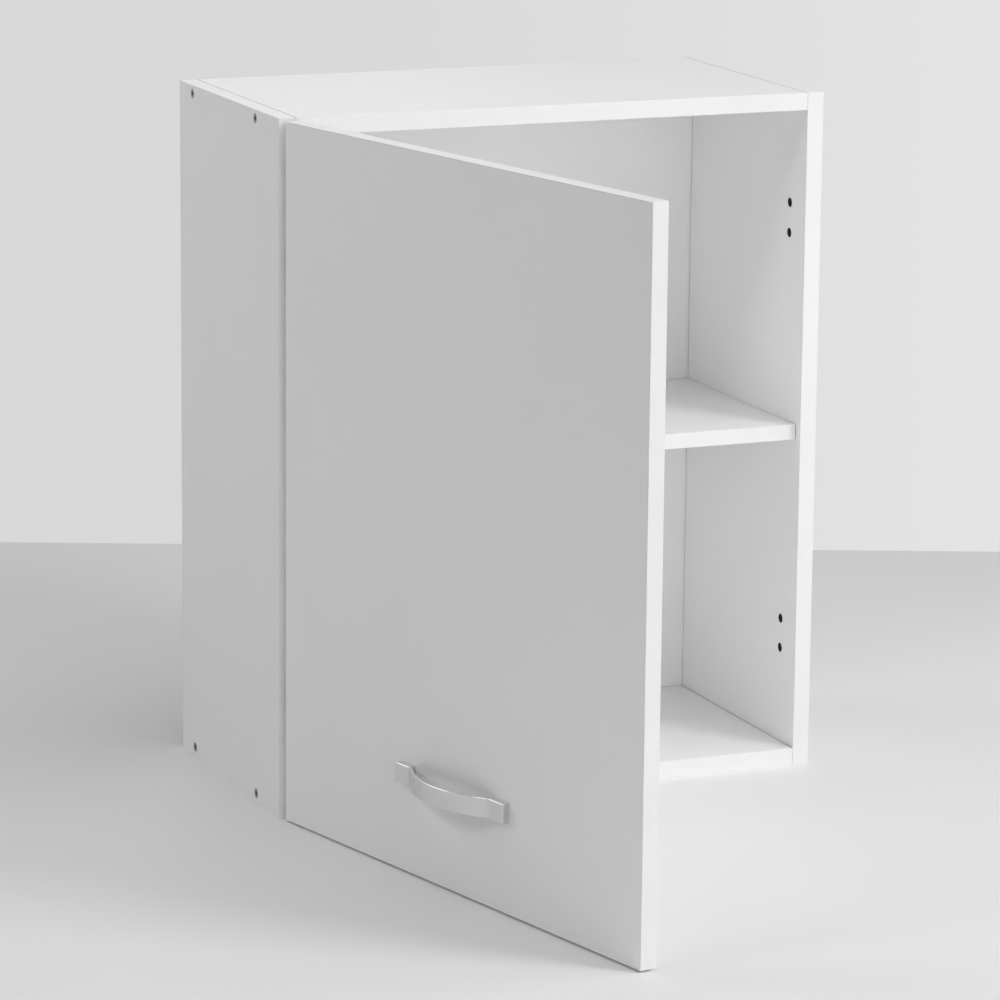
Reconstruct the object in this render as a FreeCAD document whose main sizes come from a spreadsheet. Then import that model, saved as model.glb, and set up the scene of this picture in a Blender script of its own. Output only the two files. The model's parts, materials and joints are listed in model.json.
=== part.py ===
# A wall cabinet with one hinged door, in millimetres.
# Frame: +Z up, +X to the right and +Y towards the wall, seen from the front.  The origin is the middle
# of the carcass's underside.  The door is shown part open, as it rests.

import FreeCAD
import Part
import Sketcher
import os
import re

Vector = FreeCAD.Vector

DRIVING_SIZES = [
    ("cabinet_width", 600.0),
    ("cabinet_height", 720.0),
    ("cabinet_depth", 300.0),
    ("board", 18.0),              # side, top and bottom panels
    ("band", 0.8),                # plastic edge band on every visible board edge
    ("joint_gap", 0.25),          # butt joint between a side and the top or bottom
    ("case_screw_front", 69.0),   # from the front edge to the front case screw
    ("case_screw_rear", 40.0),    # from the rear edge to the rear case screw
    ("case_screw_radius", 3.4),
    ("case_screw_length", 50.0),
    ("case_screw_head_radius", 5.0),
    ("case_screw_head", 3.0),
    ("head_sink", 0.2),           # how far a case screw's head lies below the face
    ("screw_fit", 0.05),          # radial clearance round every screw and pin that is held still
    ("back_thickness", 3.0),
    ("back_setback", 16.0),       # from the carcass's rear edge to the back panel's rear face
    ("groove_depth", 7.0),
    ("groove_front_gap", 0.8),
    ("groove_gap", 0.3),          # at the back panel's rear face and round its edges
    ("shelf_thickness", 16.0),
    ("shelf_height", 368.0),      # from the floor to the shelf's top face
    ("shelf_setback", 10.0),
    ("shelf_gap", 0.75),          # between the shelf's ends and the sides, and to the back
    ("peg_radius", 2.5),
    ("peg_depth", 9.0),
    ("peg_seat", 8.0),            # how far a shelf support reaches under the shelf
    ("peg_seat_width", 7.0),
    ("peg_inset", 45.0),          # from the shelf's front and rear edges
    ("door_board", 18.0),
    ("door_reveal", 2.0),         # carcass edge left bare round the door
    ("door_gap", 2.0),            # between the closed door and the carcass
    ("open_angle", 77.0),         # the door as it rests, from closed
    ("axis_inset", 7.0),          # hinge axis from the door's hinge edge
    ("axis_depth", 14.0),         # hinge axis from the door's inner face, into the door
    ("hinge_offset", 224.0),      # each hinge from the cabinet's mid-height
    ("cup_radius", 17.5),
    ("cup_depth", 12.5),
    ("cup_sheet", 1.0),
    ("cup_edge", 3.0),            # board left between the cup and the door's hinge edge
    ("cup_fit", 0.1),
    ("flange_thickness", 1.2),
    ("flange_width", 17.0),
    ("flange_half_length", 28.0),
    ("cup_screw_spread", 45.0),
    ("cup_screw_offset", 9.5),    # from the cup's middle, away from the hinge edge
    ("cup_screw_radius", 1.9),
    ("cup_screw_length", 13.0),
    ("small_head_radius", 3.8),
    ("small_head", 1.5),
    ("hinge_pin_radius", 1.5),
    ("hinge_pin_fit", 0.05),
    ("cup_pin_inset", 9.5),       # cup pin from the door's hinge edge
    ("cup_pin_depth", 7.5),       # cup pin below the door's inner face
    ("cup_pin_length", 24.2),
    ("arm_pin_inset", 31.0),      # arm pin from the carcass's outer side
    ("arm_pin_forward", 4.0),     # arm pin ahead of the carcass's front edge
    ("arm_pin_length", 12.4),
    ("link_width", 9.0),
    ("link_sheet", 1.4),
    ("link_eye", 2.6),
    ("link_bow", 6.5),
    ("plate_hole_front", 37.0),   # hinge-plate holes from the carcass's front edge
    ("plate_hole_spacing", 32.0),
    ("plate_hole_radius", 5.0),
    ("plate_hole_depth", 12.0),
    ("dowel_fit", 0.05),
    ("dowel_bore", 2.6),
    ("plate_screw_radius", 2.5),
    ("plate_screw_length", 11.0),
    ("wing_thickness", 2.5),
    ("wing_width", 14.0),
    ("wing_half_length", 23.0),
    ("rail_front", 22.0),         # mounting plate's rail, from the carcass's front edge
    ("rail_length", 38.0),
    ("rail_width", 12.4),
    ("rail_height", 16.8),
    ("arm_sheet", 1.5),
    ("arm_slack", 0.3),           # between the arm's cheeks and what lies between them
    ("arm_nose", 7.5),            # arm's front end ahead of the carcass's front edge
    ("arm_cheek_drop", 10.0),     # how far the cheeks come down from the arm's top
    ("arm_fixing_inset", 46.0),
    ("arm_adjusting_inset", 27.0),
    ("arm_screw_radius", 2.0),
    ("arm_screw_length", 9.0),
    ("handle_length", 180.0),
    ("handle_height", 20.0),
    ("handle_up", 101.0),         # handle's middle above the door's lower edge
    ("handle_end_length", 24.0),
    ("handle_end", 8.0),          # thickness of the two flat ends
    ("handle_reach", 28.0),
    ("handle_strap", 3.5),
    ("handle_bend", 8.0),         # radius where the bow leaves the ends' outer faces
    ("handle_soften", 0.8),
    ("handle_screw_spread", 160.0),
    ("handle_screw_radius", 2.0),
    ("handle_screw_grip", 6.0),   # screw's length inside the handle
    ("bumper_radius", 4.0),
    ("bumper_thickness", 1.7),
    ("bumper_inset", 8.0),
    ("hanger_width", 14.0),
    ("hanger_length", 56.0),
    ("hanger_sheet", 1.5),
    ("hanger_drop", 70.0),        # hanger plate's middle below the cabinet's top
    ("hanger_hole_radius", 4.5),
    ("hanger_slot_radius", 2.5),
    ("hanger_slot_rise", 10.0),
    ("hanger_pocket_depth", 12.0),
    ("hanger_screw_spread", 42.0),
    ("hanger_screw_radius", 1.7),
    ("hanger_screw_length", 16.0),
    ("hanger_head_radius", 3.0),
]

doc = FreeCAD.newDocument("wall_cabinet")
sheet = doc.addObject("Spreadsheet::Sheet", "dims")
ALIASES = [alias for alias, value in DRIVING_SIZES]
for row, (alias, value) in enumerate(DRIVING_SIZES, start=1):
    sheet.set("A%d" % row, alias)
    sheet.set("B%d" % row, str(value))
    sheet.setAlias("B%d" % row, alias)
doc.recompute()

SUB_PARTS = []


# ---- helpers -----------------------------------------------------------------------------------------

def bound(text):
    """A formula in plain names, with each name that is a cell of the sheet written as that cell."""
    return re.sub(r"[a-z_]+", lambda word: ("dims." if word.group(0) in ALIASES else "") + word.group(0), text)


def bind(thing, target, formula):
    thing.setExpression(target, bound(formula))


def place(thing, corner):
    for axis, formula in zip("xyz", corner):
        bind(thing, "Placement.Base." + axis, formula)


def keep(thing, label):
    """Marks a finished piece: its label is the name of the piece."""
    thing.Label = label
    SUB_PARTS.append(thing)
    return thing


def box(name, corner, size):
    solid = doc.addObject("Part::Box", name)
    for target, formula in zip(("Length", "Width", "Height"), size):
        bind(solid, target, formula)
    place(solid, corner)
    return solid


TURNS = {
    "+X": FreeCAD.Rotation(Vector(0, 1, 0), 90),
    "-X": FreeCAD.Rotation(Vector(0, 1, 0), -90),
    "+Y": FreeCAD.Rotation(Vector(1, 0, 0), -90),
    "-Y": FreeCAD.Rotation(Vector(1, 0, 0), 90),
    "+Z": FreeCAD.Rotation(),
}


def rod(name, centre, towards, radius, length):
    """A cylinder that starts at centre and points towards an axis direction."""
    solid = doc.addObject("Part::Cylinder", name)
    bind(solid, "Radius", radius)
    bind(solid, "Height", length)
    solid.Placement.Rotation = TURNS[towards]
    place(solid, centre)
    return solid


def fused(name, pieces):
    result = doc.addObject("Part::MultiFuse", name)
    result.Shapes = pieces
    result.Refine = True
    return result


def cut(name, base, tools):
    """The base less its tools, which are first put together when there are several."""
    result = doc.addObject("Part::Cut", name)
    result.Base = base
    result.Tool = tools[0] if len(tools) == 1 else group(name + "_tools", tools)
    result.Refine = True
    return result


def common(name, pieces):
    """What two pieces share."""
    shared = doc.addObject("Part::MultiCommon", name)
    shared.Shapes = pieces
    return shared


def group(name, pieces):
    """Separate solids kept as one piece, as for a set of equal screws."""
    result = doc.addObject("Part::Compound", name)
    result.Links = pieces
    return result


def softened(name, base, radius, wanted):
    """Rounds the edges that wanted(edge) picks."""
    doc.recompute()
    picked = [number for number, edge in enumerate(base.Shape.Edges, start=1) if wanted(edge)]
    result = doc.addObject("Part::Fillet", name)
    result.Base = base
    size = sheet.get(radius)
    result.Edges = [(number, size, size) for number in picked]
    return result


# ---- boards: each is a pad with pockets --------------------------------------------------------------

def sketch_on(body, plane, offset):
    """A sketch on one of the body's origin planes, moved along the plane's normal."""
    sketch = body.newObject("Sketcher::SketchObject", body.Name + "_sketch")
    role_plane = [item for item in body.Origin.OriginFeatures if item.Role == plane][0]
    sketch.AttachmentSupport = [(role_plane, "")]
    sketch.MapMode = "FlatFace"
    bind(sketch, "AttachmentOffset.Base.z", offset)
    return sketch


def measure(sketch, kind, items, formula):
    """Adds one dimension and binds it to its formula."""
    number = sketch.addConstraint(Sketcher.Constraint(kind, *items, 1.0))
    sketch.setExpression("Constraints[%d]" % number, bound(formula))


def draw_rectangle(sketch, low, high):
    """A rectangle between two corners, both in the sketch's first quarter."""
    corners = [Vector(1, 1, 0), Vector(2, 1, 0), Vector(2, 2, 0), Vector(1, 2, 0)]
    first = sketch.GeometryCount
    for start, end in zip(corners, corners[1:] + corners[:1]):
        sketch.addGeometry(Part.LineSegment(start, end), False)
    for side in range(4):
        sketch.addConstraint(Sketcher.Constraint("Coincident", first + side, 2, first + (side + 1) % 4, 1))
        sketch.addConstraint(Sketcher.Constraint("Horizontal" if side % 2 == 0 else "Vertical", first + side))
    for kind, point, formula in (("DistanceX", 0, low[0]), ("DistanceY", 0, low[1]),
                                 ("DistanceX", 2, high[0]), ("DistanceY", 2, high[1])):
        measure(sketch, kind, (-1, 1, first + point, 1), formula)


def draw_circles(sketch, centres, radius):
    for across, up in centres:
        number = sketch.addGeometry(Part.Circle(Vector(5, 5, 0), Vector(0, 0, 1), 1.0), False)
        measure(sketch, "Radius", (number,), radius)
        measure(sketch, "DistanceX", (-1, 1, number, 3), across)
        measure(sketch, "DistanceY", (-1, 1, number, 3), up)


def board(name, plane, low, high, thickness):
    """A flat board padded from a rectangle on one of its body's planes."""
    body = doc.addObject("PartDesign::Body", name)
    sketch = sketch_on(body, plane, "0")
    draw_rectangle(sketch, low, high)
    pad = body.newObject("PartDesign::Pad", name + "_pad")
    pad.Profile = sketch
    bind(pad, "Length", thickness)
    doc.recompute()
    return body


def pocket(body, plane, offset, forward, depth, draw, *sizes):
    """Cuts a drawn outline into a body, along the plane's normal if forward; depth None is right through."""
    before = body.Shape.Volume
    sketch = sketch_on(body, plane, offset)
    draw(sketch, *sizes)
    cutter = body.newObject("PartDesign::Pocket", body.Name + "_pocket")
    cutter.Profile = sketch
    cutter.Reversed = forward
    if depth is None:
        cutter.Type = "ThroughAll"
    else:
        bind(cutter, "Length", depth)
    doc.recompute()
    if not body.Shape.Volume < before - 1.0:
        raise ValueError(body.Name + ": a pocket cuts nothing")


# ---- places that several pieces share ----------------------------------------------------------------

LEFT = "-cabinet_width / 2"
FRONT = "-cabinet_depth / 2"
INNER_LEFT = "(-cabinet_width / 2 + board)"
SPAN = "(cabinet_width - 2 * board - 2 * joint_gap)"
SCREW_ROWS = ["case_screw_front", "cabinet_depth - case_screw_rear"]
BACK_FACE = "(cabinet_depth - back_setback - back_thickness)"
SHELF_BOTTOM = "(shelf_height - shelf_thickness)"
PEG_ROWS = ["shelf_setback + peg_inset", BACK_FACE + " - shelf_gap - peg_inset"]
DOOR_WIDTH = "(cabinet_width - 2 * door_reveal)"
DOOR_HEIGHT = "(cabinet_height - 2 * door_reveal)"
HINGE_HEIGHTS = {
    "lower": "(cabinet_height / 2 - hinge_offset)",
    "upper": "(cabinet_height / 2 + hinge_offset)",
}


# ---- carcass boards ----------------------------------------------------------------------------------

def side_panel(name, corner, inner, outer, inward):
    """A side panel; inner and outer are its faces along X, and inward says that inner is the far one."""
    body = board(name, "YZ_Plane", ("band", "0"), ("cabinet_depth", "cabinet_height"), "board")
    rows = ["board / 2", "cabinet_height - board / 2"]
    screws = [(across, up) for across in SCREW_ROWS for up in rows]
    pocket(body, "YZ_Plane", "0", True, None, draw_circles, screws, "case_screw_radius + screw_fit")
    pocket(body, "YZ_Plane", outer, inward, "case_screw_head + head_sink",
           draw_circles, screws, "case_screw_head_radius + screw_fit")
    plate_holes = [("plate_hole_front", height + sign + "plate_hole_spacing / 2")
                   for height in HINGE_HEIGHTS.values() for sign in (" - ", " + ")]
    pocket(body, "YZ_Plane", inner, not inward, "plate_hole_depth",
           draw_circles, plate_holes, "plate_hole_radius")
    pegs = [(across, SHELF_BOTTOM + " - peg_radius") for across in PEG_ROWS]
    pocket(body, "YZ_Plane", inner, not inward, "peg_depth",
           draw_circles, pegs, "peg_radius + screw_fit")
    groove = ("board - groove_depth", "board") if inward else ("0", "groove_depth")
    pocket(body, "XY_Plane", "board - groove_depth", True,
           "cabinet_height - 2 * board + 2 * groove_depth", draw_rectangle,
           (groove[0], BACK_FACE + " - groove_front_gap"),
           (groove[1], "cabinet_depth - back_setback + groove_gap"))
    middle = "cabinet_height - hanger_drop"
    pocket(body, "XZ_Plane", "-cabinet_depth", True, "hanger_sheet", draw_rectangle,
           ("board / 2 - hanger_width / 2", middle + " - hanger_length / 2"),
           ("board / 2 + hanger_width / 2", middle + " + hanger_length / 2"))
    pocket(body, "XZ_Plane", "-cabinet_depth", True, "hanger_pocket_depth", draw_rectangle,
           ("board / 2 - hanger_hole_radius", middle + " - hanger_slot_rise / 2 - hanger_hole_radius"),
           ("board / 2 + hanger_hole_radius", middle + " + hanger_slot_rise / 2 + hanger_hole_radius"))
    hanger_screws = [("board / 2", middle + sign + "hanger_screw_spread / 2") for sign in (" - ", " + ")]
    pocket(body, "XZ_Plane", "-cabinet_depth", True, "hanger_screw_length",
           draw_circles, hanger_screws, "hanger_screw_radius + screw_fit")
    place(body, corner)
    return keep(body, name)


def end_panel(name, height, groove):
    """The top or bottom panel, between the sides, with its groove for the back panel."""
    body = board(name, "XY_Plane", ("0", "band"), (SPAN, "cabinet_depth"), "board")
    screws = [(across, "board / 2") for across in SCREW_ROWS]
    depth = "case_screw_length + head_sink - board"
    pocket(body, "YZ_Plane", "0", True, depth, draw_circles, screws, "case_screw_radius + screw_fit")
    pocket(body, "YZ_Plane", SPAN, False, depth, draw_circles, screws, "case_screw_radius + screw_fit")
    pocket(body, "YZ_Plane", "0", True, None, draw_rectangle,
           (BACK_FACE + " - groove_front_gap", groove[0]),
           ("cabinet_depth - back_setback + groove_gap", groove[1]))
    place(body, (INNER_LEFT + " + joint_gap", FRONT, height))
    return keep(body, name)


side_panel("left_side_panel", (LEFT, FRONT, "0"), "board", "0", True)
side_panel("right_side_panel", ("cabinet_width / 2 - board", FRONT, "0"), "0", "board", False)
end_panel("top_panel", "cabinet_height - board", ("0", "groove_depth"))
end_panel("bottom_panel", "0", ("board - groove_depth", "board"))

keep(box("back",
         (INNER_LEFT + " - groove_depth + groove_gap", FRONT + " + " + BACK_FACE,
          "board - groove_depth + groove_gap"),
         ("cabinet_width - 2 * board + 2 * groove_depth - 2 * groove_gap", "back_thickness",
          "cabinet_height - 2 * board + 2 * groove_depth - 2 * groove_gap")),
     "back_panel")
keep(box("shelf_core",
         (INNER_LEFT + " + shelf_gap", FRONT + " + shelf_setback + band", SHELF_BOTTOM),
         ("cabinet_width - 2 * board - 2 * shelf_gap",
          BACK_FACE + " - shelf_gap - shelf_setback - band", "shelf_thickness")),
     "shelf")
keep(box("band_shelf",
         (INNER_LEFT + " + shelf_gap", FRONT + " + shelf_setback", SHELF_BOTTOM),
         ("cabinet_width - 2 * board - 2 * shelf_gap", "band", "shelf_thickness")),
     "shelf_edge_band")
for side, x in (("left", LEFT), ("right", "cabinet_width / 2 - board")):
    keep(box("band_" + side, (x, FRONT, "0"), ("board", "band", "cabinet_height")),
         side + "_side_edge_band")
for level, z in (("bottom", "0"), ("top", "cabinet_height - board")):
    keep(box("band_" + level, (INNER_LEFT + " + joint_gap", FRONT, z), (SPAN, "band", "board")),
         level + "_panel_edge_band")


# ---- carcass fittings --------------------------------------------------------------------------------

def headed_screw(name, seat, inwards, outwards, sizes):
    """A screw with its head standing on a seat; sizes are the shank's and the head's."""
    shank = rod(name + "_shank", seat, inwards, sizes[0], sizes[1])
    head = rod(name + "_head", seat, outwards, sizes[2], sizes[3])
    return fused(name, [shank, head])


for side, x, inwards, outwards in (
        ("left", LEFT + " + head_sink + case_screw_head", "+X", "-X"),
        ("right", "cabinet_width / 2 - head_sink - case_screw_head", "-X", "+X")):
    screws = []
    for row in SCREW_ROWS:
        for z in ("board / 2", "cabinet_height - board / 2"):
            screws.append(headed_screw(
                "case_screw", (x, FRONT + " + " + row, z), inwards, outwards,
                ("case_screw_radius", "case_screw_length - case_screw_head",
                 "case_screw_head_radius", "case_screw_head")))
    keep(group(side + "_screws", screws), side + "_case_screws")

pegs = []
for face, pin_way, seat_x in ((INNER_LEFT, "-X", INNER_LEFT),
                              ("(cabinet_width / 2 - board)", "+X", "cabinet_width / 2 - board - peg_seat")):
    for row in PEG_ROWS:
        pin = rod("peg_pin", (face, FRONT + " + " + row, SHELF_BOTTOM + " - peg_radius"), pin_way,
                  "peg_radius", "peg_depth - 0.3")
        seat = box("peg_seat_block",
                   (seat_x, FRONT + " + " + row + " - peg_seat_width / 2", SHELF_BOTTOM + " - 2 * peg_radius"),
                   ("peg_seat", "peg_seat_width", "2 * peg_radius"))
        pegs.append(fused("peg", [pin, seat]))
keep(group("pegs", pegs), "shelf_supports")

HANGER_BASE = "(cabinet_height - hanger_drop)"
HANGER_FACE = "cabinet_depth / 2 - hanger_sheet"
hanger_screws = []
for side, middle in (("left", "(" + LEFT + " + board / 2)"), ("right", "(cabinet_width / 2 - board / 2)")):
    plate = box("hanger_blank",
                (middle + " - hanger_width / 2", HANGER_FACE, HANGER_BASE + " - hanger_length / 2"),
                ("hanger_width", "hanger_sheet", "hanger_length"))
    keyhole = [
        rod("keyhole_mouth", (middle, HANGER_FACE, HANGER_BASE + " - hanger_slot_rise / 2"),
            "+Y", "hanger_hole_radius", "hanger_sheet"),
        rod("keyhole_end", (middle, HANGER_FACE, HANGER_BASE + " + hanger_slot_rise / 2"),
            "+Y", "hanger_slot_radius", "hanger_sheet"),
        box("keyhole_slot",
            (middle + " - hanger_slot_radius", HANGER_FACE, HANGER_BASE + " - hanger_slot_rise / 2"),
            ("2 * hanger_slot_radius", "hanger_sheet", "hanger_slot_rise")),
    ]
    for sign in (" - ", " + "):
        at = (middle, "cabinet_depth / 2", HANGER_BASE + sign + "hanger_screw_spread / 2")
        seat = (at[0], HANGER_FACE, at[2])
        keyhole.append(rod("hanger_screw_hole", seat, "+Y", "hanger_screw_radius + screw_fit", "hanger_sheet"))
        hanger_screws.append(headed_screw(
            "hanger_screw", at, "-Y", "+Y",
            ("hanger_screw_radius", "hanger_screw_length", "hanger_head_radius", "small_head")))
    keep(cut("hanger_" + side, plate, keyhole), side + "_hanger_plate")
keep(group("hanger_screw_set", hanger_screws), "hanger_screws")


# ---- door: drawn closed, from its lower hinge-side inner corner, then swung open -----------------------

SWING_X = "(axis_inset + door_reveal - cabinet_width / 2)"
SWING_Y = "(-axis_depth - door_gap - cabinet_depth / 2)"


def hang(thing):
    """Swings a piece of the door open about the hinge axis."""
    thing.Placement.Rotation = FreeCAD.Rotation(Vector(0, 0, 1), -1.0)
    bind(thing, "Placement.Rotation.Angle", "-open_angle")
    place(thing, (SWING_X + " - axis_inset * cos(open_angle) + axis_depth * sin(open_angle)",
                  SWING_Y + " + axis_inset * sin(open_angle) + axis_depth * cos(open_angle)",
                  "door_reveal"))
    return thing


def door_level(height):
    """A height above the floor, measured from the door's lower edge."""
    return height + " - door_reveal"


HANDLE_COLUMNS = [DOOR_WIDTH + " / 2" + sign + "handle_screw_spread / 2" for sign in (" - ", " + ")]
CUP_MIDDLE = "(cup_edge + cup_radius)"
CUP_SCREW_COLUMN = "(cup_edge + cup_radius + cup_screw_offset)"

door = board("door_panel", "XZ_Plane", ("band", "band"),
             (DOOR_WIDTH + " - band", DOOR_HEIGHT + " - band"), "door_board")
pocket(door, "XZ_Plane", "0", True, "cup_depth + cup_fit", draw_circles,
       [(CUP_MIDDLE, door_level(height)) for height in HINGE_HEIGHTS.values()], "cup_radius + cup_fit")
pocket(door, "XZ_Plane", "0", True, "cup_screw_length - flange_thickness", draw_circles,
       [(CUP_SCREW_COLUMN, door_level(height) + sign + "cup_screw_spread / 2")
        for height in HINGE_HEIGHTS.values() for sign in (" - ", " + ")],
       "cup_screw_radius + screw_fit")
pocket(door, "XZ_Plane", "0", True, None, draw_circles,
       [(column, "handle_up") for column in HANDLE_COLUMNS], "handle_screw_radius + screw_fit")
keep(hang(door), "door_panel")

for edge, corner, size in (
        ("hinge", ("0", "-door_board", "0"), ("band", "door_board", DOOR_HEIGHT)),
        ("free", (DOOR_WIDTH + " - band", "-door_board", "0"), ("band", "door_board", DOOR_HEIGHT)),
        ("lower", ("band", "-door_board", "0"), (DOOR_WIDTH + " - 2 * band", "door_board", "band")),
        ("upper", ("band", "-door_board", DOOR_HEIGHT + " - band"),
         (DOOR_WIDTH + " - 2 * band", "door_board", "band"))):
    keep(hang(group(edge + "_band", [box(edge + "_strip", corner, size)])), "door_" + edge + "_edge_band")


# ---- handle: two flat ends and a bow between them ------------------------------------------------------

FACE = "-door_board"
HANDLE_MIDDLE = DOOR_WIDTH + " / 2"
HANDLE_BASE = "handle_up - handle_height / 2"
BOW_CHORD = "(handle_length - 2 * handle_end_length)"
BOW_RISE = "(handle_reach - handle_end)"
BOW_RADIUS = "(" + BOW_CHORD + " ^ 2 / (8 * " + BOW_RISE + ") + " + BOW_RISE + " / 2)"

bow_centre = (HANDLE_MIDDLE, FACE + " - handle_reach + " + BOW_RADIUS, HANDLE_BASE)
bow_ring = cut("bow_ring", rod("bow_outside", bow_centre, "+Z", BOW_RADIUS, "handle_height"),
               [rod("bow_inside", bow_centre, "+Z", BOW_RADIUS + " - handle_strap", "handle_height")])
bow_span = box("bow_span",
               (HANDLE_MIDDLE + " - " + BOW_CHORD + " / 2", FACE + " - handle_reach", HANDLE_BASE),
               (BOW_CHORD, "handle_reach", "handle_height"))
ends = [box("handle_end", (HANDLE_MIDDLE + offset, FACE + " - handle_end", HANDLE_BASE),
            ("handle_end_length", "handle_end", "handle_height"))
        for offset in (" - handle_length / 2", " + handle_length / 2 - handle_end_length")]
handle_blank = fused("handle_blank", [common("bow", [bow_ring, bow_span])] + ends)

handle_front = -sheet.get("door_board") - sheet.get("handle_end") + 0.01
handle_middle = sheet.get("cabinet_width") / 2 - sheet.get("door_reveal")
handle_outermost = sheet.get("handle_length") / 2 - 0.01


def is_flat(edge):
    """Whether an edge lies level, as the handle's upper and lower rims do."""
    return edge.BoundBox.ZLength < 0.01


def is_corner(edge):
    """Whether an edge stands at the handle's left or right end."""
    return abs(edge.BoundBox.Center.x - handle_middle) > handle_outermost


handle_bent = softened("handle_bent", handle_blank, "handle_bend",
                       lambda edge: abs(edge.BoundBox.YMax - handle_front) < 0.02
                       and not is_flat(edge) and not is_corner(edge))
handle_soft = softened("handle_soft", handle_bent, "handle_soften",
                       lambda edge: edge.BoundBox.YMin < handle_front and (is_flat(edge) or is_corner(edge)))
handle_holes = [rod("handle_hole", (column, FACE, "handle_up"), "-Y",
                    "handle_screw_radius + screw_fit", "handle_screw_grip + 0.3")
                for column in HANDLE_COLUMNS]
keep(hang(cut("handle_cut", handle_soft, handle_holes)), "bow_handle")

handle_screws = [headed_screw("handle_screw", (column, "0", "handle_up"), "-Y", "+Y",
                              ("handle_screw_radius", "door_board + handle_screw_grip",
                               "small_head_radius", "small_head"))
                 for column in HANDLE_COLUMNS]
keep(hang(group("handle_screw_set", handle_screws)), "handle_screws")

bumpers = [rod("bumper", (DOOR_WIDTH + " - bumper_inset", "0", z), "+Y", "bumper_radius", "bumper_thickness")
           for z in ("bumper_inset", DOOR_HEIGHT + " - bumper_inset")]
keep(hang(group("bumpers", bumpers)), "door_bumpers")


# ---- hinges --------------------------------------------------------------------------------------------

PLATE_Y = FRONT + " + plate_hole_front"
RAIL_TOP = INNER_LEFT + " + rail_height"
CHEEK = "(rail_width / 2 + arm_slack)"

# The cup pin as the door rests, and from it the way and the distance to the arm pin.
PIN_ALONG = "(cup_pin_inset - axis_inset)"
PIN_UP = "(axis_depth - cup_pin_depth)"
PIN_X = "(" + SWING_X + " + " + PIN_ALONG + " * cos(open_angle) + " + PIN_UP + " * sin(open_angle))"
PIN_Y = "(" + SWING_Y + " - " + PIN_ALONG + " * sin(open_angle) + " + PIN_UP + " * cos(open_angle))"
ARM_PIN_X = "(" + LEFT + " + arm_pin_inset)"
ARM_PIN_Y = "(" + FRONT + " - arm_pin_forward)"
REACH_X = "(" + ARM_PIN_X + " - " + PIN_X + ")"
REACH_Y = "(" + ARM_PIN_Y + " - " + PIN_Y + ")"
LINK_LENGTH = "sqrt(" + REACH_X + " ^ 2 + " + REACH_Y + " ^ 2)"
LINK_RADIUS = "(" + LINK_LENGTH + " ^ 2 / (8 * link_bow) + link_bow / 2)"


def hinge_cup(level, height):
    """The cup and its flange, sunk in the door, and the pin across it."""
    z = door_level(height)
    mouth = (CUP_MIDDLE, "flange_thickness", z)
    shell = fused(level + "_cup_blank", [
        rod("cup_outside", mouth, "-Y", "cup_radius", "cup_depth + flange_thickness"),
        box("flange", (CUP_MIDDLE, "0", z + " - flange_half_length"),
            ("flange_width", "flange_thickness", "2 * flange_half_length"))])
    pin_start = ("cup_pin_inset", "-cup_pin_depth", z + " - cup_pin_length / 2")
    tools = [rod("cup_inside", mouth, "-Y", "cup_radius - cup_sheet",
                 "cup_depth + flange_thickness - cup_sheet"),
             rod("cup_pin_seat", pin_start, "+Z", "hinge_pin_radius", "cup_pin_length")]
    for sign in (" - ", " + "):
        tools.append(rod("flange_hole", (CUP_SCREW_COLUMN, "0", z + sign + "cup_screw_spread / 2"),
                         "+Y", "cup_screw_radius + screw_fit", "flange_thickness"))
    keep(hang(cut(level + "_cup", shell, tools)), level + "_hinge_cup")
    pin = group(level + "_cup_pin_piece",
                [rod("cup_pin", pin_start, "+Z", "hinge_pin_radius", "cup_pin_length")])
    keep(hang(pin), level + "_cup_pin")


def hinge_link(level, height):
    """The bowed link, drawn from the cup pin towards the arm pin, and the arm pin that it carries."""
    low = "-link_width / 2"
    centre = (LINK_LENGTH + " / 2", LINK_RADIUS + " - link_bow", low)
    ring = cut(level + "_link_ring",
               rod("link_outside", centre, "+Z", LINK_RADIUS + " + link_sheet / 2", "link_width"),
               [rod("link_inside", centre, "+Z", LINK_RADIUS + " - link_sheet / 2", "link_width")])
    below = box("link_span", ("0", "-2 * link_bow", low), (LINK_LENGTH, "2 * link_bow", "link_width"))
    strap = common(level + "_link_strap", [ring, below])
    ends = [("0", "0", low), (LINK_LENGTH, "0", low)]
    eyes = [rod("link_eye_blank", end, "+Z", "link_eye", "link_width") for end in ends]
    holes = [rod("link_hole", end, "+Z", "hinge_pin_radius + hinge_pin_fit", "link_width") for end in ends]
    link = cut(level + "_link_piece", fused(level + "_link_blank", [strap] + eyes), holes)
    link.Placement.Rotation = FreeCAD.Rotation(Vector(0, 0, 1), 1.0)
    bind(link, "Placement.Rotation.Angle", "atan2(" + REACH_Y + "; " + REACH_X + ")")
    place(link, (PIN_X, PIN_Y, height))
    keep(link, level + "_hinge_link")
    keep(rod(level + "_arm_pin_piece", (ARM_PIN_X, ARM_PIN_Y, height + " - arm_pin_length / 2"), "+Z",
             "hinge_pin_radius", "arm_pin_length"), level + "_arm_pin")


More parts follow.
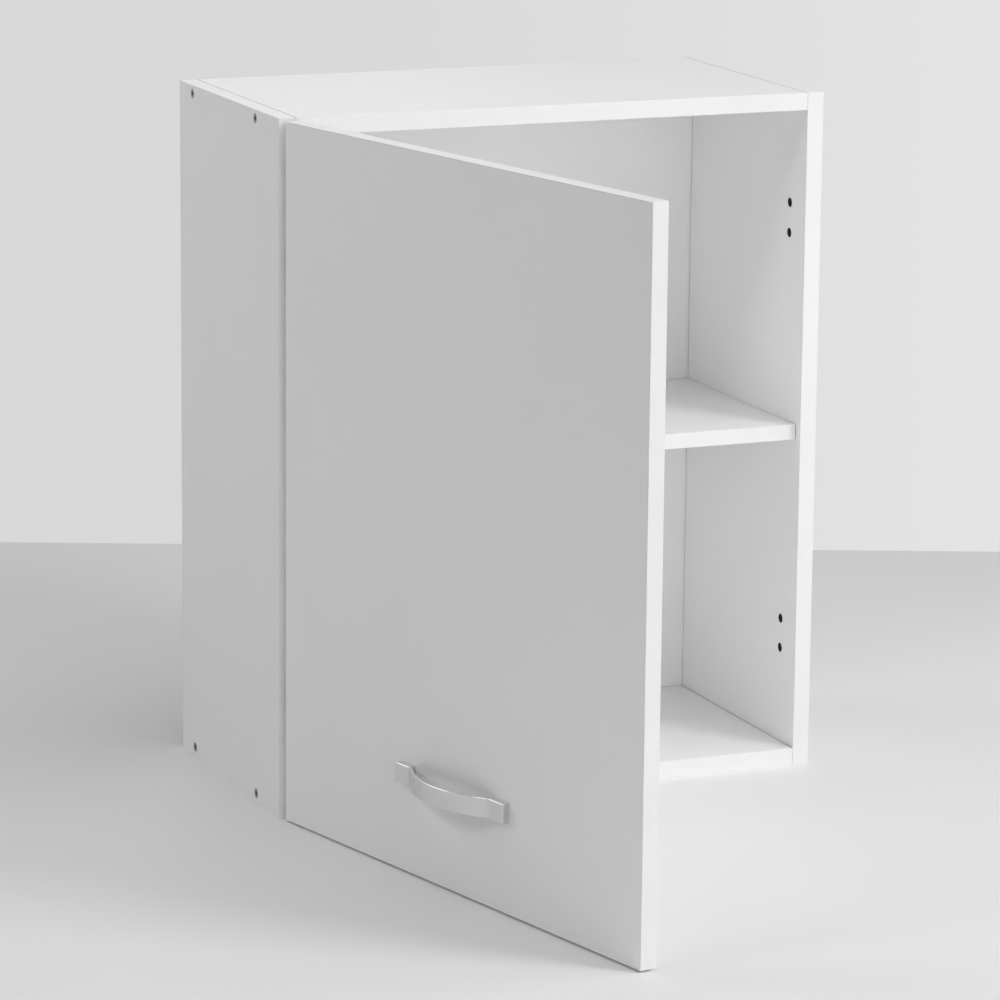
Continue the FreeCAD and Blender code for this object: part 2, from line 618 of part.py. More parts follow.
def mounting_plate(level, height):
    """The plate on the left side panel: two wings over the dowels, and the rail that the arm sits on."""
    body = fused(level + "_plate_blank", [
        box("wings", (INNER_LEFT, PLATE_Y + " - wing_width / 2", height + " - wing_half_length"),
            ("wing_thickness", "wing_width", "2 * wing_half_length")),
        box("rail", (INNER_LEFT, FRONT + " + rail_front", height + " - rail_width / 2"),
            ("rail_height", "rail_length", "rail_width"))])
    tools = [rod("wing_hole", (INNER_LEFT, PLATE_Y, height + sign + "plate_hole_spacing / 2"), "+X",
                 "plate_screw_radius + screw_fit", "wing_thickness") for sign in (" - ", " + ")]
    tools += [rod("rail_bore", (RAIL_TOP, FRONT + " + " + inset, height), "-X",
                  "arm_screw_radius + screw_fit", "arm_screw_length")
              for inset in ("arm_fixing_inset", "arm_adjusting_inset")]
    keep(cut(level + "_plate", body, tools), level + "_mounting_plate")


def hinge_arm(level, height):
    """The arm: a channel over the rail, open towards the panel, whose nose covers the link's end."""
    length = "arm_nose + rail_front + rail_length"
    nose = FRONT + " - arm_nose"
    drop = RAIL_TOP + " - arm_cheek_drop"
    pieces = [box("arm_top", (RAIL_TOP, nose, height + " - " + CHEEK + " - arm_sheet"),
                  ("arm_sheet", length, "2 * " + CHEEK + " + 2 * arm_sheet"))]
    for start in (" - " + CHEEK + " - arm_sheet", " + " + CHEEK):
        pieces.append(box("arm_cheek", (drop, nose, height + start), ("arm_cheek_drop", length, "arm_sheet")))
    tools = [rod("arm_hole", (RAIL_TOP, FRONT + " + " + inset, height), "+X",
                 "arm_screw_radius + screw_fit", "arm_sheet")
             for inset in ("arm_fixing_inset", "arm_adjusting_inset")]
    keep(cut(level + "_arm_cut", fused(level + "_arm_blank", pieces), tools), level + "_hinge_arm")


dowels = []
plate_screws = []
cup_screws = []
arm_screws = {"arm_fixing_inset": [], "arm_adjusting_inset": []}
for level, height in HINGE_HEIGHTS.items():
    hinge_cup(level, height)
    hinge_link(level, height)
    mounting_plate(level, height)
    hinge_arm(level, height)
    for sign in (" - ", " + "):
        z = height + sign + "plate_hole_spacing / 2"
        dowels.append(cut("dowel",
                          rod("dowel_blank", (INNER_LEFT, PLATE_Y, z), "-X",
                              "plate_hole_radius - dowel_fit", "plate_hole_depth - 0.3"),
                          [rod("dowel_hollow", (INNER_LEFT, PLATE_Y, z), "-X",
                               "dowel_bore", "plate_hole_depth - 0.3")]))
        plate_screws.append(headed_screw(
            "plate_screw", (INNER_LEFT + " + wing_thickness", PLATE_Y, z), "-X", "+X",
            ("plate_screw_radius", "plate_screw_length", "small_head_radius", "small_head")))
        cup_screws.append(headed_screw(
            "cup_screw",
            (CUP_SCREW_COLUMN, "flange_thickness", door_level(height) + sign + "cup_screw_spread / 2"),
            "-Y", "+Y",
            ("cup_screw_radius", "cup_screw_length - 0.3", "small_head_radius", "small_head")))
    for inset, screws in arm_screws.items():
        screws.append(headed_screw(
            "arm_screw", (RAIL_TOP + " + arm_sheet", FRONT + " + " + inset, height), "-X", "+X",
            ("arm_screw_radius", "arm_screw_length", "small_head_radius", "small_head")))
keep(group("dowel_set", dowels), "plate_dowels")
keep(group("plate_screw_set", plate_screws), "plate_screws")
keep(hang(group("cup_screw_set", cup_screws)), "cup_screws")
keep(group("fixing_set", arm_screws["arm_fixing_inset"]), "arm_fixing_screws")
keep(group("adjusting_set", arm_screws["arm_adjusting_inset"]), "arm_adjusting_screws")


# ---- checks and files ----------------------------------------------------------------------------------

doc.recompute()
for item in doc.Objects:
    if {"Invalid", "Error"} & set(item.State):
        raise ValueError(item.Label + " did not recompute")
for piece in SUB_PARTS:
    if piece.Shape.isNull() or not piece.Shape.isValid() or not piece.Shape.Solids:
        raise ValueError(piece.Label + " has no valid solid")

os.makedirs("parts", exist_ok=True)
for piece in SUB_PARTS:
    piece.Shape.exportStep("parts/" + piece.Label + ".step")
    print(piece.Label, len(piece.Shape.Solids), round(piece.Shape.Volume, 1))
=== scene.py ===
import json
import math

import bmesh
import bpy
from mathutils import Matrix, Vector


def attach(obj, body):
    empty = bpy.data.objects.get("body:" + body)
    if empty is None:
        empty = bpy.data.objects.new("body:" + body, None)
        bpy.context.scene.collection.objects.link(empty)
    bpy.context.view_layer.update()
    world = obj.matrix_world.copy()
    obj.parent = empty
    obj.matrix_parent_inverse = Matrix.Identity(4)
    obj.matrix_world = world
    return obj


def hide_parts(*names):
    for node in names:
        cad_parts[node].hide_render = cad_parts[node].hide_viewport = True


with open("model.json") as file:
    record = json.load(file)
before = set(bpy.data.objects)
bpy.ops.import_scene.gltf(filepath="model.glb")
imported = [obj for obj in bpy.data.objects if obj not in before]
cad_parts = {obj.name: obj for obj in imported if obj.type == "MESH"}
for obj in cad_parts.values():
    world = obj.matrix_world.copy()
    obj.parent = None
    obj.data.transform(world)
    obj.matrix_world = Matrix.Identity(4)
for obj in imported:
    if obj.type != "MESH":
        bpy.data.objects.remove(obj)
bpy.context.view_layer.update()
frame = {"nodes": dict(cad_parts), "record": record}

# Sizes of the cabinet, in metres.
# The frame: +Z up, +X right, +Y to the wall, origin on the ground under the carcass's middle.
WIDTH = 0.600
HEIGHT = 0.720
DEPTH = 0.300
BOARD = 0.018
OPEN = math.radians(77.0)  # how far the door stands open at rest
DOOR_CORNER = Vector((-0.278933, -0.156030, 0.002))  # hinge-side inner lower corner of the door
DOOR_INWARD = Vector((math.sin(OPEN), math.cos(OPEN), 0.0))  # normal of the door's inner face
UP = Vector((0.0, 0.0, 1.0))
MERGE = 0.000002  # points of a CAD mesh that lie closer than this are one

nodes = frame["nodes"]
scene = bpy.context.scene


# ---- materials -------------------------------------------------------------------------------


# Sockets of a Mix node that mixes colours. Their names repeat, so they are reached by number.
MIX_FACTOR, MIX_FIRST, MIX_SECOND, MIX_RESULT = 0, 6, 7, 2


class Shader:
    """A material under construction: small helpers that add nodes and link them."""

    def __init__(self, name, colour, roughness, metallic=0.0, specular=0.5):
        self.material = bpy.data.materials.new(name)
        self.material.use_nodes = True
        self.tree = self.material.node_tree
        self.bsdf = self.tree.nodes["Principled BSDF"]
        self.put(self.bsdf, "Base Color", (*colour, 1.0))
        self.put(self.bsdf, "Roughness", roughness)
        self.put(self.bsdf, "Metallic", metallic)
        self.put(self.bsdf, "Specular IOR Level", specular)
        self.place = self.add("ShaderNodeTexCoord").outputs["Object"]

    def add(self, kind, **settings):
        node = self.tree.nodes.new(kind)
        for key, value in settings.items():
            setattr(node, key, value)
        return node

    def put(self, node, socket, value):
        """Sets a socket to a value, or links it to another node's output."""
        if isinstance(value, bpy.types.NodeSocket):
            self.tree.links.new(value, node.inputs[socket])
        else:
            node.inputs[socket].default_value = value

    def math(self, operation, first, second=0.0):
        node = self.add("ShaderNodeMath", operation=operation)
        self.put(node, 0, first)
        self.put(node, 1, second)
        return node.outputs[0]

    def noise(self, scale, detail=3.0, roughness=0.55, place=None):
        node = self.add("ShaderNodeTexNoise")
        self.put(node, "Vector", place or self.place)
        self.put(node, "Scale", scale)
        self.put(node, "Detail", detail)
        self.put(node, "Roughness", roughness)
        return node.outputs["Fac"]

    def stretched(self, stretch, turn=0.0):
        """Object coordinates, turned about Z and then scaled along each axis."""
        node = self.add("ShaderNodeMapping")
        self.put(node, "Vector", self.place)
        self.put(node, "Rotation", (0.0, 0.0, turn))
        self.put(node, "Scale", stretch)
        return node.outputs["Vector"]

    def ramp(self, value, low, high, start=0.3, end=0.7):
        """Carries a value from start to end over to low to high."""
        node = self.add("ShaderNodeMapRange")
        self.put(node, "Value", value)
        self.put(node, "From Min", start)
        self.put(node, "From Max", end)
        self.put(node, "To Min", low)
        self.put(node, "To Max", high)
        return node.outputs["Result"]

    def mix(self, share, first, second):
        node = self.add("ShaderNodeMix", data_type="RGBA")
        self.put(node, MIX_FACTOR, share)
        for socket, colour in ((MIX_FIRST, first), (MIX_SECOND, second)):
            linked = isinstance(colour, bpy.types.NodeSocket)
            self.put(node, socket, colour if linked else (*colour, 1.0))
        return node.outputs[MIX_RESULT]

    def bump(self, height, strength, distance, before=None):
        node = self.add("ShaderNodeBump")
        self.put(node, "Height", height)
        self.put(node, "Strength", strength)
        self.put(node, "Distance", distance)
        if before is not None:
            self.put(node, "Normal", before)
        return node.outputs["Normal"]

    def between(self, value, low, high):
        """1 where low < value < high, otherwise 0."""
        above = self.math("GREATER_THAN", value, low)
        return self.math("MULTIPLY", above, self.math("LESS_THAN", value, high))


CHIPS_PER_METRE = 420.0
BROWN_CHIP = (0.30, 0.18, 0.09)
PALE_CHIP = (0.62, 0.45, 0.27)
DARK_SPECK = (0.20, 0.12, 0.06)


def chipboard(shader):
    """Colour of raw chipboard: pale and brown chips with dark specks."""
    chips = shader.add("ShaderNodeTexVoronoi")
    shader.put(chips, "Vector", shader.stretched((CHIPS_PER_METRE,) * 3))
    shader.put(chips, "Scale", 1.0)
    shade = shader.add("ShaderNodeSeparateColor")
    shader.put(shade, 0, chips.outputs["Color"])
    ground = shader.mix(shade.outputs[0], BROWN_CHIP, PALE_CHIP)
    specks = shader.ramp(shader.noise(900.0), 0.0, 0.55, 0.45, 0.7)
    return shader.mix(specks, ground, DARK_SPECK)


FACE_SKIN = 0.0002  # a board's raw core starts this far under its faces
EDGE_SKIN = 0.0003  # and this far in from its ends
# painted shade: the near-black colour of cuts and bores, where the raw core lies in shadow
BORE_SHADE = (0.045, 0.042, 0.038)


def melamine(name, colour, axis=None, middle=0.0, mirror=None, joint=None):
    """White melamine board, with faint shades, pores and grain.

    Between its two faces, across axis, its core is raw: chipboard on the rear edge, and in cuts
    and bores a near-black painted shade. middle is the core's place along axis, counted from
    mirror to both sides where that is given. Beyond joint, to the left and the right, the board is
    grey with the shade and dust of its butt joints.
    """
    shader = Shader(name, colour, 0.42, specular=0.42)
    tint = tuple(c * 0.965 for c in colour)
    broad = shader.ramp(shader.noise(5.0, 2.0), 0.0, 1.0)
    pores = shader.ramp(shader.noise(1600.0, 2.0), 0.0, 0.35, 0.55, 0.75)
    tinted = shader.math("MAXIMUM", shader.math("MULTIPLY", broad, 0.5), pores)
    white = shader.mix(tinted, colour, tint)
    rough = shader.ramp(shader.noise(60.0, 4.0), 0.36, 0.48)
    grain = shader.bump(shader.noise(1300.0, 2.0), 0.10, 0.00012)
    shader.put(shader.bsdf, "Normal", shader.bump(shader.noise(22.0, 2.0), 0.05, 0.0015, grain))
    if axis is None:
        shader.put(shader.bsdf, "Base Color", white)
        shader.put(shader.bsdf, "Roughness", rough)
        return shader.material
    along = shader.add("ShaderNodeVectorMath", operation="DOT_PRODUCT")
    shader.put(along, 0, shader.place)
    shader.put(along, 1, axis)
    depth = along.outputs["Value"]
    if mirror is not None:
        depth = shader.math("ABSOLUTE", shader.math("SUBTRACT", depth, mirror))
    half_core = BOARD / 2 - FACE_SKIN
    raw = shader.between(depth, middle - half_core, middle + half_core)
    apart = shader.add("ShaderNodeSeparateXYZ")
    shader.put(apart, 0, shader.place)
    if axis[2] == 0.0:  # an upright board is white on its upper and lower ends
        inside = shader.between(apart.outputs["Z"], EDGE_SKIN, HEIGHT - EDGE_SKIN)
        raw = shader.math("MULTIPLY", raw, inside)
    if joint is not None:
        beyond = shader.math("GREATER_THAN", shader.math("ABSOLUTE", apart.outputs["X"]), joint)
        white = shader.mix(beyond, white, JOINT_GREY)
    rear = shader.math("GREATER_THAN", apart.outputs["Y"], DEPTH / 2 - EDGE_SKIN)
    # the rear edge shows raw chipboard; cuts and bores get the near-black painted shade
    cut = shader.mix(rear, BORE_SHADE, chipboard(shader))
    shader.put(shader.bsdf, "Base Color", shader.mix(raw, white, cut))
    cut_rough = shader.math("MULTIPLY", raw, 0.85)
    shader.put(shader.bsdf, "Roughness", shader.math("MAXIMUM", rough, cut_rough))
    return shader.material


def edging(name, colour):
    """Plastic edge banding: satin, with faint milling waves across it."""
    shader = Shader(name, colour, 0.38, specular=0.42)
    soft = shader.ramp(shader.noise(9.0, 2.0), 0.0, 1.0)
    dark = tuple(c * 0.97 for c in colour)
    shader.put(shader.bsdf, "Base Color", shader.mix(soft, colour, dark))
    shader.put(shader.bsdf, "Roughness", shader.ramp(shader.noise(45.0, 3.0), 0.34, 0.46))
    shader.put(shader.bsdf, "Normal", shader.bump(shader.noise(420.0, 2.0), 0.06, 0.0002))
    return shader.material


def metal(name, colour, roughness, stretch=(60.0, 60.0, 900.0), turn=0.0, worn=0.9, brush=0.05):
    """Plated or brushed metal: fine lines in one direction, and soft patches in its colour."""
    shader = Shader(name, colour, roughness, metallic=1.0)
    lines = shader.noise(1.0, 4.0, 0.6, shader.stretched(stretch, turn))
    patches = shader.ramp(shader.noise(70.0, 3.0), 0.0, 1.0)
    dark = tuple(c * worn for c in colour)
    shader.put(shader.bsdf, "Base Color", shader.mix(patches, colour, dark))
    smooth, coarse = roughness - 1.2 * brush, roughness + 1.6 * brush
    shader.put(shader.bsdf, "Roughness", shader.ramp(lines, smooth, coarse))
    shader.put(shader.bsdf, "Normal", shader.bump(lines, brush, 0.0001))
    return shader.material


def moulded(name, colour, roughness, transmission=0.0):
    """Moulded plastic or a soft pad."""
    shader = Shader(name, colour, roughness, specular=0.45)
    shader.put(shader.bsdf, "Transmission Weight", transmission)
    rough = shader.ramp(shader.noise(300.0), roughness - 0.05, roughness + 0.06)
    shader.put(shader.bsdf, "Roughness", rough)
    dark = tuple(c * 0.93 for c in colour)
    shader.put(shader.bsdf, "Base Color", shader.mix(shader.noise(120.0), colour, dark))
    shader.put(shader.bsdf, "Normal", shader.bump(shader.noise(700.0), 0.08, 0.0001))
    return shader.material


WHITE = (0.94, 0.94, 0.937)
JOINT_GREY = (0.30, 0.30, 0.29)
JOINT_REACH = 0.0012  # width of the grey line along a butt joint
EVEN_GRAIN = (500.0, 500.0, 500.0)
SIDE_BOARD = melamine("melamine_side", WHITE, (1.0, 0.0, 0.0), WIDTH / 2 - BOARD / 2, 0.0)
LEVEL_BOARD = melamine("melamine_level", WHITE, (0.0, 0.0, 1.0), HEIGHT / 2 - BOARD / 2,
                       HEIGHT / 2, WIDTH / 2 - BOARD - JOINT_REACH)
DOOR_BOARD = melamine("melamine_door", WHITE, tuple(DOOR_INWARD),
                      DOOR_CORNER.dot(DOOR_INWARD) - BOARD / 2)
PLAIN_BOARD = melamine("melamine_plain", WHITE)
BACK_BOARD = melamine("painted_fibreboard", (0.93, 0.93, 0.927))
EDGING = edging("edge_banding", (0.87, 0.87, 0.867))
HANDLE_METAL = metal("satin_nickel", (0.72, 0.716, 0.71), 0.2, (12.0, 300.0, 300.0), OPEN,
                     worn=0.96, brush=0.008)
HINGE_METAL = metal("nickel_steel", (0.66, 0.65, 0.63), 0.25)
ZINC = metal("zinc_steel", (0.64, 0.64, 0.65), 0.33, EVEN_GRAIN)
DARK_STEEL = metal("dark_steel", (0.34, 0.335, 0.33), 0.42, EVEN_GRAIN, worn=0.75)
DOWEL = moulded("dowel_plastic", (0.42, 0.42, 0.42), 0.5)
BUMPER = moulded("soft_pad", (0.78, 0.78, 0.76), 0.35, transmission=0.3)

BY_SLOT = {
    "board": PLAIN_BOARD,
    "back_board": BACK_BOARD,
    "edging": EDGING,
    "handle_metal": HANDLE_METAL,
    "hinge_metal": HINGE_METAL,
    "steel": ZINC,
    "dark_screw": DARK_STEEL,
    "dowel": DOWEL,
    "bumper": BUMPER,
}
BY_NODE = {
    "left_side_panel": SIDE_BOARD,
    "right_side_panel": SIDE_BOARD,
    "top_panel": LEVEL_BOARD,
    "bottom_panel": LEVEL_BOARD,
    "door_panel": DOOR_BOARD,
}


def paint(piece, material):
    piece.data.materials.clear()
    piece.data.materials.append(material)


def soften(piece, width):
    """Rounds a piece's sharp edges a little, as pressing, moulding or trimming leaves them."""
    weld = piece.modifiers.new("weld", "WELD")
    weld.merge_threshold = MERGE
    bevel = piece.modifiers.new("bevel", "BEVEL")
    bevel.width = width
    bevel.segments = 2
    bevel.limit_method = "ANGLE"
    bevel.angle_limit = math.radians(40.0)
    bevel.use_clamp_overlap = True
    bevel.harden_normals = False


# How wide the softened edges of each slot's pieces are, in metres.
SOFT_EDGES = {"board": 0.0004, "edging": 0.0003, "hinge_metal": 0.0003, "steel": 0.0002}
SLOT_OF = {row["node"]: row["material_slot"] for row in frame["record"]["subparts"]}
BODIES = frame["record"]["behaviour"]["bodies"]
BODY_OF = {node: body for body, held in BODIES.items() for node in held}

for name, node in nodes.items():
    paint(node, BY_NODE.get(name, BY_SLOT[SLOT_OF[name]]))
    if SLOT_OF[name] in SOFT_EDGES:
        soften(node, SOFT_EDGES[SLOT_OF[name]])


# ---- turned pieces: screws with a recess, and door bumpers -----------------------------------


def link_mesh(name, mesh):
    thing = bpy.data.objects.new(name, mesh)
    scene.collection.objects.link(thing)
    return thing


def turned(profile, steps=32):
    """A closed solid of revolution about Z from (radius, height) points, both ends on the axis."""
    mesh = bmesh.new()
    rings = []
    for radius, height in profile:
        if radius == 0.0:
            rings.append([mesh.verts.new((0.0, 0.0, height))])
            continue
        angles = [2.0 * math.pi * step / steps for step in range(steps)]
        rings.append([mesh.verts.new((radius * math.cos(a), radius * math.sin(a), height))
                      for a in angles])
    for lower, upper in zip(rings, rings[1:]):
        for step in range(steps):
            after = (step + 1) % steps
            corners = [lower[step % len(lower)], lower[after % len(lower)],
                       upper[after % len(upper)], upper[step % len(upper)]]
            mesh.faces.new(list(dict.fromkeys(corners)))
    bmesh.ops.recalc_face_normals(mesh, faces=mesh.faces)
    return mesh


def prism(outline, low, high, taper):
    """A closed solid over an outline; its lower end is the outline scaled by taper."""
    mesh = bmesh.new()
    bottom = [mesh.verts.new((x * taper, y * taper, low)) for x, y in outline]
    top = [mesh.verts.new((x, y, high)) for x, y in outline]
    mesh.faces.new(list(reversed(bottom)))
    mesh.faces.new(top)
    for index in range(len(outline)):
        after = (index + 1) % len(outline)
        mesh.faces.new([bottom[index], bottom[after], top[after], top[index]])
    return mesh


def cross_outline(reach, half):
    quarter = [(reach, -half), (reach, half), (half, half)]
    return [(x * math.cos(a) - y * math.sin(a), x * math.sin(a) + y * math.cos(a))
            for a in (0.0, math.pi / 2, math.pi, 3 * math.pi / 2) for x, y in quarter]


def hexagon_outline(across):
    radius = across / math.sqrt(3.0)
    return [(radius * math.cos(math.pi * k / 3), radius * math.sin(math.pi * k / 3))
            for k in range(6)]


def carved(solid, cutter):
    """The mesh of a solid with a cutter taken out of it."""
    things = []
    for part in (solid, cutter):
        mesh = bpy.data.meshes.new("part")
        part.to_mesh(mesh)
        part.free()
        things.append(link_mesh("part", mesh))
    boolean = things[0].modifiers.new("cut", "BOOLEAN")
    boolean.operation = "DIFFERENCE"
    boolean.solver = "EXACT"
    boolean.object = things[1]
    seen = things[0].evaluated_get(bpy.context.evaluated_depsgraph_get())
    mesh = bpy.data.meshes.new_from_object(seen)
    for thing in things:
        old = thing.data
        bpy.data.objects.remove(thing)
        bpy.data.meshes.remove(old)
    return mesh


def pan_screw(head_radius, head, shank_radius, length):
    """A round-headed screw with a cross recess; the seat under its head is at 0."""
    body = turned([(0.0, -length), (shank_radius, -length + 1.6 * shank_radius),
                   (shank_radius, 0.0), (head_radius, 0.0), (head_radius, 0.35 * head),
                   (0.94 * head_radius, 0.62 * head), (0.80 * head_radius, 0.83 * head),
                   (0.55 * head_radius, 0.95 * head), (0.0, head)])
    slot = prism(cross_outline(0.62 * head_radius, 0.13 * head_radius), 0.1 * head, 1.6 * head, 0.5)
    return carved(body, slot)


SCREW_TIP = 0.003  # length of a case screw's tapered tip
SOCKET_WIDTH = 0.0045  # its hexagon socket, across the flats


def socket_screw(head_radius, head, shank_radius, length):
    """A flat-headed case screw with a hexagon socket; the seat under its head is at 0."""
    body = turned([(0.0, -length), (0.7 * shank_radius, -length),
                   (shank_radius, -length + SCREW_TIP), (shank_radius, 0.0), (head_radius, 0.0),
                   (head_radius, 0.84 * head), (0.92 * head_radius, head), (0.0, head)])
    return carved(body, prism(hexagon_outline(SOCKET_WIDTH), 0.1 * head, 1.5 * head, 1.0))


def islands(node):
    """The separate solids of a CAD node, each as a list of points."""
    mesh = bmesh.new()
    mesh.from_mesh(nodes[node].data)
    bmesh.ops.remove_doubles(mesh, verts=mesh.verts, dist=MERGE)
    left = set(mesh.verts)
    found = []
    while left:
        queue = [left.pop()]
        points = []
        while queue:
            vertex = queue.pop()
            points.append(vertex.co.copy())
            for edge in vertex.link_edges:
                other = edge.other_vert(vertex)
                if other in left:
                    left.remove(other)
                    queue.append(other)
        found.append(points)
    mesh.free()
    return found


def middle_of(values):
    values = list(values)
    return (min(values) + max(values)) / 2.0


RECESS_TURN = 0.6  # angle of the first recess, in radians
RECESS_STEP = 1.1  # and how much further each next one is turned
SMOOTH_ANGLE = math.radians(35.0)


def fasteners(node, axis, head, template, material):
    """Puts a copy of a detailed fastener in the place of each solid of a node, and frees it.

    axis points out of the head, which stands head high."""
    across = UP.cross(axis).normalized()
    above = axis.cross(across)
    joined = bmesh.new()
    for index, points in enumerate(islands(node)):
        top = max(point.dot(axis) for point in points)
        centre = (axis * (top - head) + across * middle_of(point.dot(across) for point in points)
                  + above * middle_of(point.dot(above) for point in points))
        turn = Matrix((across, above, axis)).transposed().to_4x4()
        spin = Matrix.Rotation(RECESS_TURN + RECESS_STEP * index, 4, "Z")
        one = template.copy()
        one.transform(Matrix.Translation(centre) @ turn @ spin)
        joined.from_mesh(one)
        bpy.data.meshes.remove(one)
    mesh = bpy.data.meshes.new(node + "_detail")
    joined.to_mesh(mesh)
    joined.free()
    bpy.data.meshes.remove(template)
    for polygon in mesh.polygons:
        polygon.use_smooth = True
    mesh.set_sharp_from_angle(angle=SMOOTH_ANGLE)
    piece = link_mesh(node + "_detail", mesh)
    paint(piece, material)
    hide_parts(node)
    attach(piece, BODY_OF[node])


LEFTWARD = Vector((-1.0, 0.0, 0.0))
RIGHTWARD = Vector((1.0, 0.0, 0.0))
BACKWARD = Vector((0.0, 1.0, 0.0))
CASE_HEAD = 0.003  # height of a case screw's head
PAN_HEAD = 0.0015  # height of a round head
PAN_SCREWS = (  # node, way out of the head, radius of the head, radius of the shank, length
    ("hanger_screws", BACKWARD, 0.0030, 0.0017, 0.0160),
    ("handle_screws", DOOR_INWARD, 0.0038, 0.0020, 0.0215),
    ("cup_screws", DOOR_INWARD, 0.0038, 0.0019, 0.0127),
    ("plate_screws", RIGHTWARD, 0.0038, 0.0025, 0.0110),
    ("arm_fixing_screws", RIGHTWARD, 0.0038, 0.0020, 0.0090),
    ("arm_adjusting_screws", RIGHTWARD, 0.0038, 0.0020, 0.0090),
)

for name, axis in (("left_case_screws", LEFTWARD), ("right_case_screws", RIGHTWARD)):
    fasteners(name, axis, CASE_HEAD, socket_screw(0.005, CASE_HEAD, 0.0034, 0.047), DARK_STEEL)
for name, axis, head_radius, shank_radius, length in PAN_SCREWS:
    fasteners(name, axis, PAN_HEAD, pan_screw(head_radius, PAN_HEAD, shank_radius, length), ZINC)

PAD_HEIGHT = 0.0017


def bumper():
    """A soft domed pad; its flat side is at 0."""
    mesh = bpy.data.meshes.new("bumper")
    body = turned([(0.0, 0.0), (0.0038, 0.0), (0.004, 0.0003), (0.0037, 0.0008),
                   (0.0030, 0.00125), (0.0018, 0.0016), (0.0, PAD_HEIGHT)])
    body.to_mesh(mesh)
    body.free()
    return mesh


fasteners("door_bumpers", DOOR_INWARD, PAD_HEIGHT, bumper(), BUMPER)


# ---- floor, lights and camera ----------------------------------------------------------------

# The camera, fitted to the photograph's edges: angles in radians, place in metres.
YAW = 0.3977
PITCH = 0.2196
ROLL = 0.0096
FOCAL_PIXELS = 4840.0
FRAME_PIXELS = 1000.0
SENSOR_WIDTH = 36.0
CAMERA_AT = Vector((-1.9342, -4.6138, 1.3958))
AHEAD = Vector((math.sin(YAW), math.cos(YAW), 0.0))
SIDEWAYS = Vector((math.cos(YAW), -math.sin(YAW), 0.0))

# The floor, counted from the point under the camera.
FLOOR_FAR = 5.98  # where the floor meets the pale wall
FLOOR_NEAR = 2.4
FLOOR_HALF_WIDTH = 2.6
FLOOR_COLOUR = (0.88, 0.88, 0.88)
FLOOR_ROUGHNESS = (0.50, 0.58)


def stage_plane(name, corners, material):
    mesh = bpy.data.meshes.new(name)
    mesh.from_pydata([tuple(corner) for corner in corners], [], [(0, 1, 2, 3)])
    plane = link_mesh(name, mesh)
    paint(plane, material)


floor_shader = Shader("pale_floor", FLOOR_COLOUR, FLOOR_ROUGHNESS[0], specular=0.2)
floor_shader.put(floor_shader.bsdf, "Roughness",
                 floor_shader.ramp(floor_shader.noise(3.0), *FLOOR_ROUGHNESS))
foot = Vector((CAMERA_AT.x, CAMERA_AT.y, 0.0))
floor_places = ((FLOOR_FAR, -FLOOR_HALF_WIDTH), (FLOOR_NEAR, -FLOOR_HALF_WIDTH),
                (FLOOR_NEAR, FLOOR_HALF_WIDTH), (FLOOR_FAR, FLOOR_HALF_WIDTH))
stage_plane("floor",
            [foot + AHEAD * ahead + SIDEWAYS * across for ahead, across in floor_places],
            floor_shader.material)

world = bpy.data.worlds.new("studio")
scene.world = world
world.use_nodes = True
sky = world.node_tree
no_light = sky.nodes["Background"]  # only the lamps light the object
no_light.inputs["Strength"].default_value = 0.0


def sky_range(value, start, end, low, high):
    """Carries a value from start to end over to low to high."""
    node = sky.nodes.new("ShaderNodeMapRange")
    sky.links.new(value, node.inputs["Value"])
    for socket, number in (("From Min", start), ("From Max", end),
                           ("To Min", low), ("To Max", high)):
        node.inputs[socket].default_value = number
    return node.outputs["Result"]


def sky_math(operation, first, second):
    node = sky.nodes.new("ShaderNodeMath")
    node.operation = operation
    sky.links.new(first, node.inputs[0])
    sky.links.new(second, node.inputs[1])
    return node.outputs[0]


# The wall that the camera, metal and clear plastic see is a little brighter to the right, and
# dark high up. Each row: from and to along the direction, and the wall's strength there.
WALL_ACROSS = (-0.03, 0.10, 0.69, 0.775)
WALL_UPWARD = (0.35, 0.6, 1.0, 0.35)

direction = sky.nodes.new("ShaderNodeTexCoord").outputs["Generated"]
rightward = sky.nodes.new("ShaderNodeVectorMath")
rightward.operation = "DOT_PRODUCT"
sky.links.new(direction, rightward.inputs[0])
rightward.inputs[1].default_value = SIDEWAYS
skyward = sky.nodes.new("ShaderNodeSeparateXYZ")
sky.links.new(direction, skyward.inputs[0])
wall_tone = sky_math("MULTIPLY", sky_range(rightward.outputs["Value"], *WALL_ACROSS),
                     sky_range(skyward.outputs["Z"], *WALL_UPWARD))
seen_sky = sky.nodes.new("ShaderNodeBackground")
seen_sky.inputs["Color"].default_value = (1.0, 1.0, 1.0, 1.0)
sky.links.new(wall_tone, seen_sky.inputs["Strength"])
rays = sky.nodes.new("ShaderNodeLightPath").outputs
seen = sky_math("MAXIMUM", rays["Is Camera Ray"], rays["Is Glossy Ray"])
seen = sky_math("MAXIMUM", seen, rays["Is Transmission Ray"])
choice = sky.nodes.new("ShaderNodeMixShader")
sky.links.new(seen, choice.inputs[0])
sky.links.new(no_light.outputs[0], choice.inputs[1])
sky.links.new(seen_sky.outputs[0], choice.inputs[2])
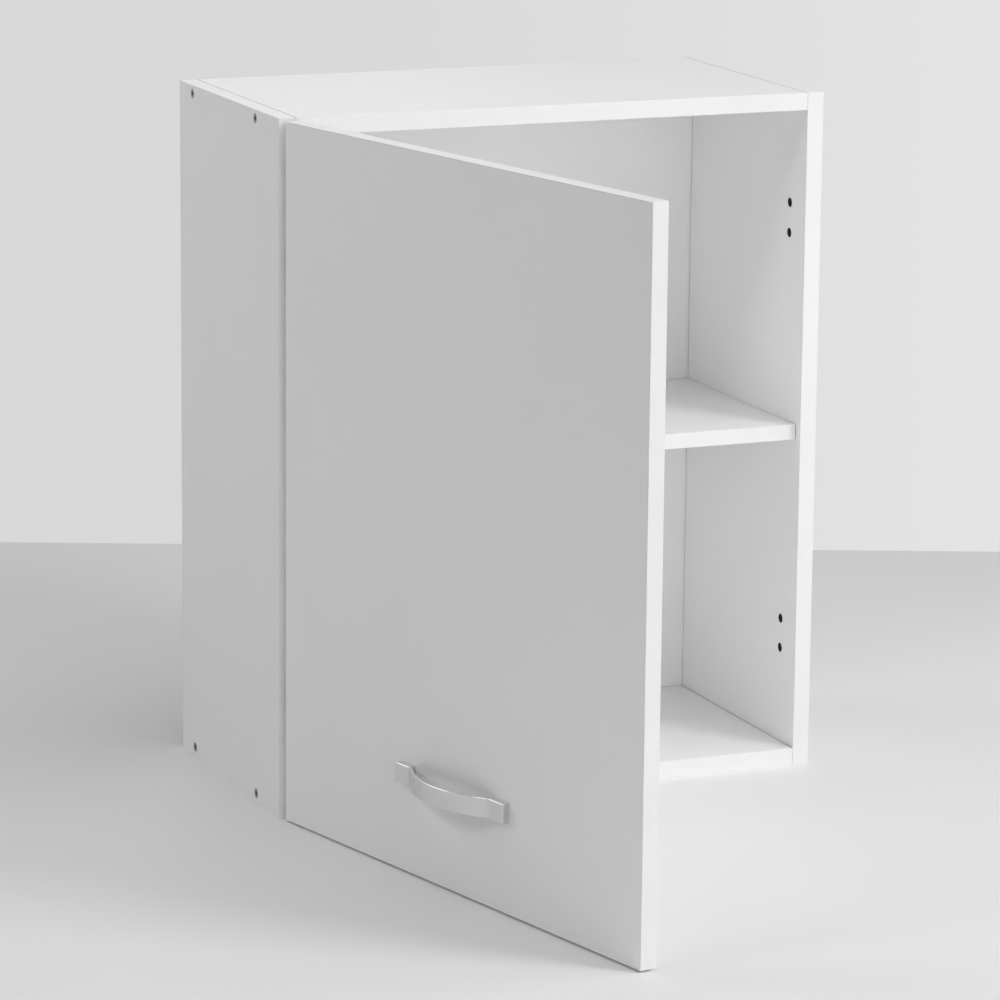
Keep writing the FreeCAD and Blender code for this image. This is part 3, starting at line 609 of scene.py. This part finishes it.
sky.links.new(choice.outputs[0], sky.nodes["World Output"].inputs["Surface"])

MIDDLE = Vector((0.0, -0.1, 0.35))  # what the lamps point at
LAMPS = (  # name, place, width, height, watts
    ("key", (1.87, -2.49, 2.1), 1.1, 1.1, 45.0),
    ("right", (3.2, -1.0, 1.6), 2.0, 2.0, 35.0),
    ("overhead", (0.0, -0.5, 3.2), 2.5, 2.5, 28.0),
    ("high_front", (0.8, -2.6, 3.0), 2.0, 2.0, 12.0),
    ("low_front", (0.2, -5.6, 0.9), 3.0, 1.6, 34.0),
    ("fill", (-1.0, -4.6, 1.2), 2.2, 1.6, 14.0),
    ("left_rear", (-2.6, 1.6, 1.8), 2.0, 2.0, 29.0),
    ("left_high", (-2.6, -0.9, 2.3), 0.6, 0.6, 10.0),
    ("rear", (0.4, 3.2, 2.2), 2.0, 2.0, 9.0),
)

for name, at, width, height, watts in LAMPS:
    lamp = bpy.data.lights.new(name, "AREA")
    lamp.shape = "RECTANGLE"
    lamp.size = width
    lamp.size_y = height
    lamp.energy = watts
    light = bpy.data.objects.new(name, lamp)
    light.location = at
    light.rotation_euler = (MIDDLE - Vector(at)).to_track_quat("-Z", "Y").to_euler()
    scene.collection.objects.link(light)

forward = Vector((math.sin(YAW) * math.cos(PITCH), math.cos(YAW) * math.cos(PITCH),
                  -math.sin(PITCH)))
upward = SIDEWAYS.cross(forward)
level = SIDEWAYS * math.cos(ROLL) + upward * math.sin(ROLL)
plumb = upward * math.cos(ROLL) - SIDEWAYS * math.sin(ROLL)
camera_data = bpy.data.cameras.new("camera")
camera_data.sensor_width = SENSOR_WIDTH
camera_data.sensor_fit = "HORIZONTAL"
camera_data.lens = FOCAL_PIXELS * SENSOR_WIDTH / FRAME_PIXELS
camera = bpy.data.objects.new("camera", camera_data)
camera_turn = Matrix((level, plumb, -forward)).transposed().to_4x4()
camera.matrix_world = Matrix.Translation(CAMERA_AT) @ camera_turn
scene.collection.objects.link(camera)
scene.camera = camera
scene.view_settings.view_transform = "Standard"
